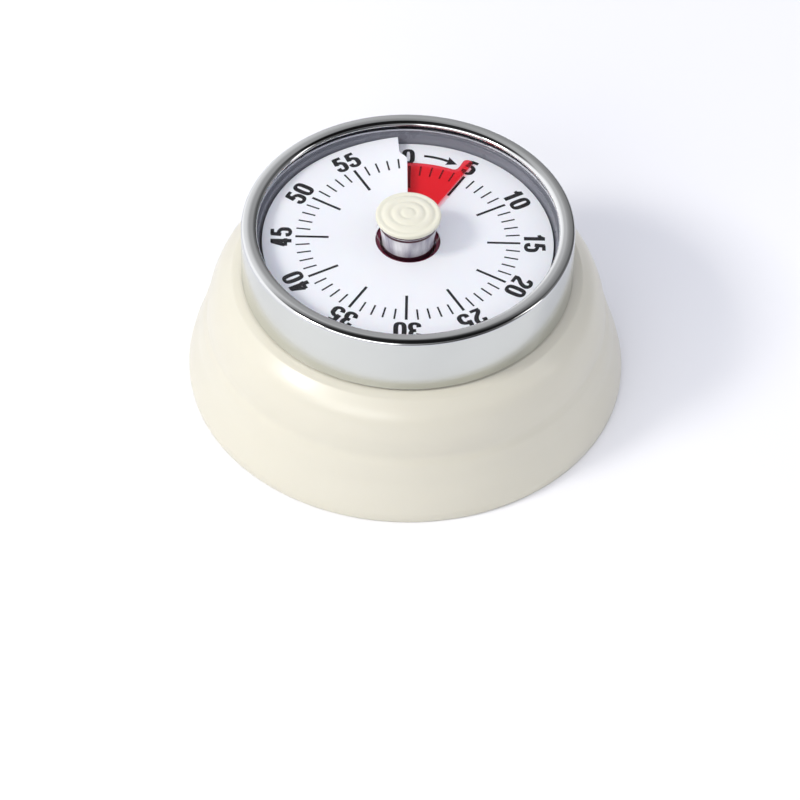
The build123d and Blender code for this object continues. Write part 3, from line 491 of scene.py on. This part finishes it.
# ---------------------------------------------------------------- case
def make_body_shell():
    """Hollow case: the wavy side, the shoulder, the neck, and the same side again inside."""
    outer = smooth_curve([(BASE_R * share, z) for share, z in CASE_SIDE])
    inner = [(r - CASE_WALL, z) for r, z in outer if z < CASE_INSIDE_TOP]
    outline = [
        (BASE_R - CASE_WALL, BASE_BOTTOM), (BASE_R - CASE_EDGE, BASE_BOTTOM),
        (BASE_R - CASE_EDGE_MIDDLE, BASE_BOTTOM + CASE_EDGE_MIDDLE),
        (BASE_R, BASE_BOTTOM + CASE_EDGE),
    ]
    outline += outer
    outline += [
        (NECK_R, SHOULDER_TOP), (NECK_R, NECK_TOP), (NECK_BORE_R, NECK_TOP),
        (NECK_BORE_R, SHOULDER_UNDER), (SHOULDER_UNDER_R, SHOULDER_UNDER),
    ]
    outline += inner[::-1]
    return lathe("case_shell", outline, "case", ["body_shell"], "cream_case", 360, 50)


def make_bezel():
    """Plated ring whose top rolls inwards over the crystal, with a shadow gap under the lip."""
    top, inside_r = BEZEL_TOP - 0.01, BEZEL_R - BEZEL_WALL
    seat_z, lip_z = CRYSTAL_TOP + 0.02, CRYSTAL_TOP + BEZEL_LIP_GAP
    edge_centre = (BEZEL_R - 0.02 - BEZEL_EDGE, BEZEL_BOTTOM + BEZEL_EDGE)
    outer_height, lip_height = top - 0.05 - BEZEL_SHOULDER_Z, top - 0.03 - lip_z
    crown_width, crown_height = 4.6, 8.0
    outline = [(inside_r, BEZEL_BOTTOM)]
    outline += arc(edge_centre, (BEZEL_EDGE, BEZEL_EDGE), -90, 0, 8)
    outline += arc((BEZEL_R - 0.73, BEZEL_SHOULDER_Z), (0.58, outer_height), 0, 80)
    outline += arc((24.9, top - crown_height), (crown_width, crown_height), 86, 94, 9)
    outline += arc((BEZEL_LIP_R, lip_z), (0.85, lip_height), 100, 180)
    outline += [(BEZEL_LIP_R, lip_z), (BEZEL_LIP_R, seat_z), (inside_r, seat_z)]
    return lathe("bezel", outline, "case", ["bezel_ring"], "chrome_trim", 360, 60)


def make_crystal():
    corners = [
        (CRYSTAL_HOLE_R, CRYSTAL_BOTTOM, CRYSTAL_EDGE), (CRYSTAL_R, CRYSTAL_BOTTOM, CRYSTAL_EDGE),
        (CRYSTAL_R, CRYSTAL_TOP, CRYSTAL_EDGE), (CRYSTAL_HOLE_R, CRYSTAL_TOP, CRYSTAL_EDGE),
    ]
    return lathe("crystal_pane", rounded(corners, 3), "case", ["crystal"], "clear_cover")


def make_dial_ring():
    """Grey ring: a skirt on the neck, a slope down to the dial and a floor under it."""
    under = RING_FLOOR - RING_FLOOR_THICK
    corners = [
        (RING_HOLE_R, under, 0), (RING_SKIRT_R, under, 0), (RING_SKIRT_R, RING_BOTTOM, 0),
        (RING_R, RING_BOTTOM, 0), (RING_R, NECK_TOP, 0), *RING_SLOPE,
        (RING_SLOPE[-1][0], RING_FLOOR, 0), (RING_HOLE_R, RING_FLOOR, 0),
    ]
    outline = rounded(corners, 4)
    return lathe("dial_ring_slope", outline, "case", ["dial_ring"], "grey_ring", sharp=40)


# ---------------------------------------------------------------- dial and disc
def dial_height(dial_angle):
    """Middle of the dial film: a slow spiral ramp whose free end curls up."""
    curl = max(0.0, (dial_angle - DIAL_CURL_START) / (360.0 - DIAL_CURL_START))
    return DIAL_LOW + DIAL_RISE * dial_angle / 360.0 + DIAL_CURL * curl**2


def disc_height(dial_angle):
    return DISC_ZERO + DISC_PITCH * dial_angle / 360.0


def notch_end(radius):
    """Dial angle of the free end: radial inside, then swept back outside."""
    share = min(1.0, max(0.0, (radius - NOTCH_INNER_R) / (NOTCH_OUTER_R - NOTCH_INNER_R)))
    return DIAL_END + (NOTCH_END - DIAL_END) * (3 * share**2 - 2 * share**3)


def make_dial():
    """White film dial, with rows set closely where its free end is swept back."""
    radii = np.concatenate([
        np.linspace(DIAL_HOLE_R, NOTCH_INNER_R - 0.4, 10), np.linspace(NOTCH_INNER_R, 19.8, 16),
        np.linspace(20.3, DIAL_R, 5),
    ])
    columns = []
    for share in np.linspace(0, 1, DIAL_COLUMNS):
        columns.append([(r, DIAL_START + share * (notch_end(r) - DIAL_START)) for r in radii])
    return film("dial_film", columns, dial_height, "case", ["dial"], "dial_film")


def tab_outline(back):
    """Outer radius of the red disc at a distance (mm) back from the leading edge."""
    if back <= 2 * TAB_HALF:
        return TAB_R - TAB_HALF + sqrt(max(0.0, TAB_HALF**2 - (back - TAB_HALF) ** 2))
    beyond = 2 * TAB_HALF + TAB_FILLET - back
    if beyond > 0:
        return DISC_R + TAB_FILLET - sqrt(max(0.0, TAB_FILLET**2 - beyond**2))
    return DISC_R


def make_disc():
    """Red film disc, with columns set closely round its pointer tab."""
    backs = np.concatenate([
        TAB_HALF * (1 - np.cos(np.linspace(0, pi, 25))), [1.502], np.linspace(1.52, 2.6, 14),
        np.linspace(3.0, 12.0, 19),
    ])
    near = [degrees(back / TAB_MIDDLE_R) for back in backs]
    far = list(np.linspace(near[-1] + 2.0, DISC_SPAN, 160))
    columns = []
    for turn in reversed(near + far):
        radii = np.linspace(DISC_HOLE_R, tab_outline(radians(turn) * TAB_MIDDLE_R), DISC_ROWS)
        columns.append([(r, DISC_REST - turn) for r in radii])
    return film("red_disc_film", columns, disc_height, "red_disc", ["time_disc"], "red_film")


# ---------------------------------------------------------------- printing on the dial
def ink_z(dial_angle, side):
    return dial_height(dial_angle) + FILM_THICK / 2 + INK_LIFT + side * INK_THICK


def printed(outline):
    """Points and faces of one thin closed shape from an outline of (radius, dial angle)."""
    count = len(outline)
    points = [on_dial(r, a, ink_z(a, side)) for side in (1, -1) for r, a in outline]
    faces = [tuple(range(count)), tuple(range(2 * count - 1, count - 1, -1))]
    for k in range(count):
        beyond = (k + 1) % count
        faces.append((k, k + count, beyond + count, beyond))
    return points, faces


def gather(shapes):
    """One list of points and one of faces from several (points, faces)."""
    points, faces = [], []
    for some_points, some_faces in shapes:
        faces += [tuple(index + len(points) for index in face) for face in some_faces]
        points += some_points
    return points, faces


def tick(minute):
    inner, half = MINOR_TICK if minute % 5 else MAJOR_TICK
    corners = [(inner, -half), (TICK_OUTER_R, -half), (TICK_OUTER_R, half), (inner, half)]
    return printed([(r, MINUTE * minute + degrees(x / r)) for r, x in corners])


def arrow():
    """Arrow that runs clockwise from 0, with a shaft that sinks a little."""
    turns = np.linspace(ARROW_START, ARROW_NECK, 10)
    middles = [ARROW_R - ARROW_DROOP * (a - ARROW_START) ** 2 for a in turns]
    upper = [(r + ARROW_HALF, a) for r, a in zip(middles, turns)]
    lower = [(r - ARROW_HALF, a) for r, a in zip(middles, turns)]
    head = [
        (middles[-1] + ARROW_HEAD_HALF, ARROW_NECK - 0.4), (middles[-1] - 0.2, ARROW_TIP),
        (middles[-1] - ARROW_HEAD_HALF, ARROW_NECK - 0.6),
    ]
    return printed(upper + head + lower[::-1])


def digit_strokes(digit):
    """Centre lines of a bold condensed digit in a unit box. A closed loop ends at its start."""
    if digit == "0":
        waves = [(cos(t), sin(t)) for t in np.linspace(0, 2 * pi, 33)]
        return [[
            (0.5 + 0.5 * np.sign(c) * abs(c) ** 0.7, 0.5 + 0.5 * np.sign(s) * abs(s) ** 0.6)
            for c, s in waves
        ]]
    if digit == "1":
        return [[(0.68, 1.08), (0.68, -0.08)], [(0.05, 0.76), (0.36, 0.79), (0.62, 0.98)]]
    if digit == "2":
        neck = [(0.0, 0.7), (0.08, 0.92), (0.5, 1.0), (0.92, 0.92), (0.98, 0.7)]
        tail = [(0.72, 0.46), (0.22, 0.22), (0.06, 0.02)]
        return [smooth_curve(neck + tail, 4), [(-0.14, 0.0), (1.05, 0.0)]]
    if digit == "3":
        upper = [(0.02, 0.74), (0.12, 0.94), (0.5, 1.0), (0.88, 0.93), (0.95, 0.74), (0.78, 0.57)]
        lower = [(0.82, 0.48), (1.0, 0.27), (0.9, 0.07), (0.5, 0.0), (0.1, 0.07), (0.0, 0.27)]
        waist = [(0.34, 0.52)]
        return [smooth_curve(upper + waist, 4), smooth_curve(waist + lower, 4)]
    if digit == "4":
        return [
            [(0.72, 1.08), (0.72, -0.08)], [(0.56, 1.02), (0.0, 0.28)],
            [(-0.14, 0.25), (1.12, 0.25)],
        ]
    bowl = [(0.08, 0.56), (0.45, 0.65), (0.92, 0.52), (1.0, 0.33), (0.92, 0.1), (0.5, 0.0)]
    hook = [(0.08, 0.08), (0.0, 0.26)]
    return [
        [(1.0, 1.0), (0.12, 1.0)], [(0.2, 1.06), (0.08, 0.5)], smooth_curve(bowl + hook, 4),
    ]


def stroke_sides(path, left):
    """Pairs of (across, height) along one stroke, further apart on its upright parts."""
    size = np.array((DIGIT_WIDTH - 2 * STEM, DIGIT_HEIGHT - 2 * BAR))
    line = [np.array((STEM, BAR)) + np.array(point) * size for point in path]
    closed = np.allclose(line[0], line[-1])
    sides = []
    for index, here in enumerate(line):
        before = line[index - 1] if index else (line[-2] if closed else here)
        after = line[index + 1] if index + 1 < len(line) else (line[1] if closed else here)
        along = (after - before) / np.linalg.norm(after - before)
        normal = np.array((-along[1], along[0]))
        reach = normal * hypot(normal[0] * STEM, normal[1] * BAR)
        sides.append([(left + p[0], p[1]) for p in (here + reach, here - reach)])
    return sides


def stroke_shape(sides, middle):
    """Points and faces of one thin closed stroke, at a dial angle."""
    points = []
    for side in (1, -1):
        for across, height in (place for pair in sides for place in pair):
            radius = DIGIT_INNER_R + height
            angle = middle + degrees(atan2(across, radius))
            points.append(on_dial(hypot(across, radius), angle, ink_z(angle, side)))
    low = 2 * len(sides)
    faces = [(0, 1, low + 1, low), (low - 2, 2 * low - 2, 2 * low - 1, low - 1)]
    for k in range(0, low - 2, 2):
        faces += [(k, k + 2, k + 3, k + 1), (low + k, low + k + 1, low + k + 3, low + k + 2)]
        faces += [(k, low + k, low + k + 2, k + 2), (k + 1, k + 3, low + k + 3, low + k + 1)]
    return points, faces


def numeral(minute):
    """A bold, condensed numeral that stands outwards on the dial."""
    characters, pitch = str(minute), DIGIT_WIDTH + DIGIT_GAP
    width = len(characters) * pitch - DIGIT_GAP
    shapes = []
    for number, character in enumerate(characters):
        for path in digit_strokes(character):
            sides = stroke_sides(path, number * pitch - width / 2)
            shapes.append(stroke_shape(sides, MINUTE * minute - NUMERAL_LAG))
    return gather(shapes)


def make_print():
    marks = gather([tick(minute) for minute in range(60)] + [arrow()])
    ticks = build_mesh("dial_ticks", *marks, "case", (), "dial_film")
    figures = gather([numeral(minute) for minute in range(0, 60, 5)])
    numbers = build_mesh("dial_numerals", *figures, "case", (), "dial_film")
    return ticks, numbers


# ---------------------------------------------------------------- knob
def cap_height(radius):
    """Low dome with three soft ring grooves."""
    grooves = sum(
        exp(-(((radius - GROOVE_FIRST_R - GROOVE_STEP * ring) / GROOVE_WIDTH) ** 2))
        for ring in range(3)
    )
    return CAP_TOP - CAP_DOME * (radius / CAP_R) ** 2 - GROOVE_DEPTH * grooves


def make_cap():
    rim_z = cap_height(CAP_RIM_R)
    dome = [(r, cap_height(r)) for r in np.linspace(0, CAP_RIM_R, 80)]
    corners = [
        (CAP_RIM_R, rim_z, 0), (CAP_R, rim_z - CAP_RIM_DROP, 0.28), (CAP_R, CAP_BOTTOM, 0.3),
        (CAP_UNDER_R, CAP_BOTTOM, 0), (0, CAP_BOTTOM, 0),
    ]
    outline = dome[:-1] + rounded(corners, 8)
    return lathe("knob_top", outline, "knob", ["knob_cap"], "cream_knob", 160, 70)


def make_barrel():
    """Clear cone under the cap, with a bore for the main arbor."""
    ceiling = BARREL_TOP - BARREL_FLOOR
    corners = [
        (BARREL_BORE_R, BARREL_BOTTOM, 0), (BARREL_FOOT_R, BARREL_BOTTOM, 0.2),
        (BARREL_LOW_R, BARREL_LOW_Z, 0), (4.5, BARREL_TOP - 1.2, 0), (4.55, BARREL_TOP - 0.7, 0),
        (4.57, BARREL_TOP - 0.56, 0), (BARREL_NECK_R, BARREL_TOP, 0),
        (0, BARREL_TOP, 0), (0, ceiling, 0), (BARREL_BORE_R, ceiling, 0),
    ]
    outline = rounded(corners, 5)
    return lathe("knob_clear_barrel", outline, "knob", ["knob_barrel"], "clear_barrel", 160, 40)


def is_barrel_line(x, y, z):
    """Faces of the barrel's side that get painted shade: two dark lines under the cap, and its
    foot.
    """
    lines = any(BARREL_TOP + low < z < BARREL_TOP + high for low, high in PAINTED_SHADE_LINES)
    return hypot(x, y) > BARREL_SKIN_R and (lines or z < BARREL_LOW_Z)


# ---------------------------------------------------------------- back
def make_foot():
    inner_r = FOOT_R - FOOT_WIDTH
    corners = [
        (inner_r, 0, 0.4), (FOOT_R, 0, 0.4), (FOOT_R, FOOT_TOP, 0.1), (inner_r, FOOT_TOP, 0.1),
    ]
    outline = rounded(corners, 5)
    return lathe("foot_ring_rubber", outline, "case", ["foot_ring"], "foot_rubber")


def make_magnet():
    corners = [
        (MAGNET_HOLE_R, MAGNET_BOTTOM, 0.3), (MAGNET_R, MAGNET_BOTTOM, 0.3),
        (MAGNET_R, MAGNET_TOP, 0), (MAGNET_HOLE_R, MAGNET_TOP, 0),
    ]
    return lathe("magnet_ferrite", rounded(corners, 4), "case", ["magnet_ring"], "magnet")


# ---------------------------------------------------------------- stage
def make_camera():
    elevation, distance, roll = radians(44.79), 0.5115, radians(1.16)
    aim = Vector((-0.00073, 0.0, -0.00932))
    place = Vector((0, -distance * cos(elevation), 0.015 + distance * sin(elevation)))
    data = bpy.data.cameras.new("camera")
    data.sensor_width, data.lens = 36.0, 144.6
    data.clip_start, data.clip_end = 0.01, 20.0
    camera = bpy.data.objects.new("camera", data)
    look = (aim - place).to_track_quat("-Z", "Y").to_matrix().to_4x4()
    camera.matrix_world = Matrix.Translation(place) @ look @ Matrix.Rotation(roll, 4, "Z")
    bpy.context.scene.collection.objects.link(camera)
    bpy.context.scene.camera = camera


def area_light(name, place, size, watts, colour):
    """A rectangular light that looks at the middle of the timer."""
    target = Vector((0, 0, 0.02))
    data = bpy.data.lights.new(name, "AREA")
    data.shape, data.size, data.size_y = "RECTANGLE", size[0], size[1]
    data.energy, data.color = watts, colour
    light = bpy.data.objects.new(name, data)
    light.location = place
    light.rotation_euler = (target - Vector(place)).to_track_quat("-Z", "Y").to_euler()
    bpy.context.scene.collection.objects.link(light)


def make_lights():
    area_light("key_left", (-0.57, -0.22, 0.57), (0.18, 0.18), 3.1, (1.0, 0.97, 0.92))
    area_light("strip_right", (0.66, -0.06, 0.36), (0.12, 0.5), 0.45, (1.0, 0.98, 0.95))
    area_light("fill_front", (-0.45, -0.85, 0.62), (0.8, 0.5), 3.6, (1.0, 0.985, 0.95))


def make_world():
    """Soft room light, a brighter left half for reflections, and a plain pale background."""
    world = bpy.data.worlds.new("room")
    bpy.context.scene.world = world
    world.use_nodes = True
    tree = world.node_tree
    tree.nodes.clear()
    link, add = tree.links.new, tree.nodes.new
    split = add("ShaderNodeSeparateXYZ")
    link(add("ShaderNodeTexCoord").outputs["Generated"], split.inputs[0])

    def ramp(axis, low, high, at_low, at_high, kind="SMOOTHSTEP"):
        made = add("ShaderNodeMapRange")
        made.interpolation_type = kind
        ends = ("From Min", low), ("From Max", high), ("To Min", at_low), ("To Max", at_high)
        for key, value in ends:
            made.inputs[key].default_value = value
        link(split.outputs[axis], made.inputs["Value"])
        return made.outputs["Result"]

    def times(first, second):
        made = add("ShaderNodeMath")
        made.operation = "MULTIPLY"
        link(first, made.inputs[0])
        link(second, made.inputs[1])
        return made.outputs[0]

    def choose(question, no, yes):
        made = add("ShaderNodeMixShader")
        link(question, made.inputs[0])
        link(no, made.inputs[1])
        link(yes, made.inputs[2])
        return made.outputs[0]

    overhead = ramp("Z", 0.55, 0.97, 0.58, 1.05)
    to_right = ramp("X", -0.1, 0.9, 0.98, 1.15)
    horizon = ramp("Z", 0.05, 0.4, 0.12, 1.0)
    front = add("ShaderNodeMix")
    link(ramp("Y", -0.75, -0.3, 1.0, 0.0), front.inputs["Factor"])
    front.inputs["A"].default_value = 1.0
    link(horizon, front.inputs["B"])
    room = add("ShaderNodeBackground")
    room.inputs["Color"].default_value = (0.86, 0.88, 1.0, 1)
    link(times(times(overhead, front.outputs["Result"]), to_right), room.inputs["Strength"])

    across = add("ShaderNodeValToRGB")
    link(ramp("X", -1.0, 1.0, 0.0, 1.0, "LINEAR"), across.inputs[0])
    stops = (
        (0.0, 1.5), (0.2, 1.5), (0.36, 1.2), (0.5, 0.56), (0.66, 0.24), (0.8, 0.1), (1.0, 0.35),
    )
    while len(across.color_ramp.elements) < len(stops):
        across.color_ramp.elements.new(0.5)
    for element, (place, value) in zip(across.color_ramp.elements, stops):
        element.position = place
        element.color = (value, value, value, 1)
    ceiling = ramp("Z", 0.74, 0.88, 1.0, 0.03)
    mirrored = add("ShaderNodeBackground")
    link(across.outputs["Color"], mirrored.inputs["Color"])
    link(times(ceiling, front.outputs["Result"]), mirrored.inputs["Strength"])

    plain = add("ShaderNodeBackground")
    plain.inputs["Color"].default_value = (0.96, 0.96, 0.965, 1)
    path = add("ShaderNodeLightPath")
    lit = choose(path.outputs["Is Glossy Ray"], room.outputs[0], mirrored.outputs[0])
    seen_directly = choose(path.outputs["Is Camera Ray"], lit, plain.outputs[0])
    link(seen_directly, add("ShaderNodeOutputWorld").inputs["Surface"])


def make_floor():
    half = 3.0
    corners = [(-half, -half, 0), (half, -half, 0), (half, half, 0), (-half, half, 0)]
    mesh = bpy.data.meshes.new("floor")
    mesh.from_pydata(corners, [], [(0, 1, 2, 3)])
    floor = bpy.data.objects.new("floor", mesh)
    bpy.context.scene.collection.objects.link(floor)
    s = Shader("pale_floor")
    s.tint(s.noise(3.0, 2.0), (0.93, 0.93, 0.93), (0.91, 0.91, 0.915))
    s.set(Roughness=0.6)
    s.finish(floor)


# ---------------------------------------------------------------- the visible pieces
def dress_case():
    """Case, bezel, crystal and the grey ring."""
    case = make_body_shell()
    cream = (0.675, 0.65, 0.545), (0.66, 0.633, 0.525)
    moulded_plastic("cream_gloss", *cream, roughness=0.31, coat=0.08).finish(case)
    # painted shade: the neck top inside the bezel is painted near black, standing in for the
    # bezel's shadow
    shadow = matt_moulding("neck_painted_shade", (0.035, 0.035, 0.045), (0.025, 0.025, 0.035), 0.5)
    shade_faces(case, shadow.material, lambda x, y, z: z > NECK_PAINTED_SHADE_Z)

    bezel = make_bezel()
    polished_chrome("chrome", (0.63, 0.64, 0.655), 0.05).finish(bezel)
    band = polished_chrome("chrome_band", (0.63, 0.645, 0.62), 0.19, haze=(0.95, 1.1))
    shade_faces(bezel, band.material, lambda x, y, z: (
        hypot(x, y) > BEZEL_R - BAND_DEPTH and BAND_LOW < z < BAND_HIGH))
    clear_pane().finish(make_crystal())

    ring = make_dial_ring()
    matt_moulding("grey_satin", (0.18, 0.185, 0.215), (0.155, 0.16, 0.19), 0.3).finish(ring)
    # painted highlight: the grey ring's top face is painted pale, standing in for the light it
    # catches under the bezel
    lip = matt_moulding("ring_lip_painted_highlight", (0.85, 0.86, 0.92), (0.80, 0.81, 0.88), 0.3)
    shade_faces(ring, lip.material, lambda x, y, z: z > NECK_TOP - RING_PAINTED_HIGHLIGHT_DEPTH)


def dress_dial():
    """Dial film, its printing and the red disc."""
    dial, _ = make_dial()
    dial_paint().finish(dial)
    ink = matt_moulding("ink", (0.003, 0.0025, 0.005), (0.006, 0.005, 0.009), 0.6)
    ink.finish(*make_print())

    disc, first_edge = make_disc()
    tinted_film("red_film", (1.0, 0.32, 0.38), (1.0, 0.07, 0.1), 0.9, 0.22).finish(disc)
    # painted highlight: the disc's cut edges get a pale pink film, standing in for the light they
    # catch
    edge = tinted_film("red_film_edge_painted_highlight", (0.9, 0.3, 0.35), (0.85, 0.25, 0.3), 0.2, 0.3)
    disc.data.materials.append(edge.material)
    for polygon in disc.data.polygons[first_edge:]:
        polygon.material_index = 1
    # painted shade: the disc is painted dark maroon round the knob, standing in for the shade there
    shade = matt_moulding("disc_maroon_painted_shade", (0.2, 0.008, 0.045), (0.14, 0.006, 0.03), 0.4)
    shade_faces(disc, shade.material, lambda x, y, z: hypot(x, y) < DISC_PAINTED_SHADE_R)


def dress_knob():
    cream = (0.775, 0.755, 0.62), (0.76, 0.74, 0.60)
    moulded_plastic("cream_satin", *cream, roughness=0.36, coat=0.06).finish(make_cap())
    barrel = make_barrel()
    clear_acrylic().finish(barrel)
    # painted shade: dark maroon lines under the cap and at the barrel's foot stand in for shade,
    # tinted by the red disc seen through the clear plastic
    line = matt_moulding("barrel_maroon_painted_shade", (0.05, 0.002, 0.012), (0.035, 0.002, 0.009), 0.5)
    shade_faces(barrel, line.material, is_barrel_line)


def dress_back():
    rubber = matt_moulding("black_rubber", (0.028, 0.028, 0.03), (0.018, 0.018, 0.02), 0.75)
    rubber.finish(make_foot())
    ferrite = matt_moulding("ferrite", (0.045, 0.045, 0.05), (0.03, 0.03, 0.032), 0.5)
    ferrite.finish(make_magnet())


def dress_movement():
    """The CAD nodes that keep their shape get only a material."""
    back_cream = (0.85, 0.81, 0.68), (0.82, 0.775, 0.64)
    by_slot = {
        "steel": machined_metal("steel", (0.52, 0.53, 0.55), (0.42, 0.43, 0.45), 0.28),
        "plate_steel": machined_metal("zinc_plate", (0.60, 0.60, 0.58), (0.52, 0.53, 0.53), 0.35),
        "spring_steel": machined_metal(
            "blued_spring", (0.13, 0.16, 0.26), (0.08, 0.10, 0.17), 0.3),
        "bell_steel": polished_chrome("bell_plating", (0.72, 0.72, 0.72), 0.12),
        "brass": machined_metal("brass", (0.72, 0.52, 0.20), (0.60, 0.42, 0.16), 0.26),
        "nylon": matt_moulding("nylon", (0.80, 0.79, 0.74), (0.74, 0.73, 0.68), 0.45),
        "cream_case": moulded_plastic("cream_back", *back_cream, roughness=0.36, coat=0.05),
    }
    slots = {row["node"]: row["material_slot"] for row in frame["record"]["subparts"]}
    for node, piece in sorted(frame["nodes"].items()):
        if not piece.hide_render:
            by_slot[slots[node]].finish(piece)


bpy.context.scene.view_settings.view_transform = "Standard"
make_camera()
make_world()
make_lights()
make_floor()
dress_case()
dress_dial()
dress_knob()
dress_back()
dress_movement()
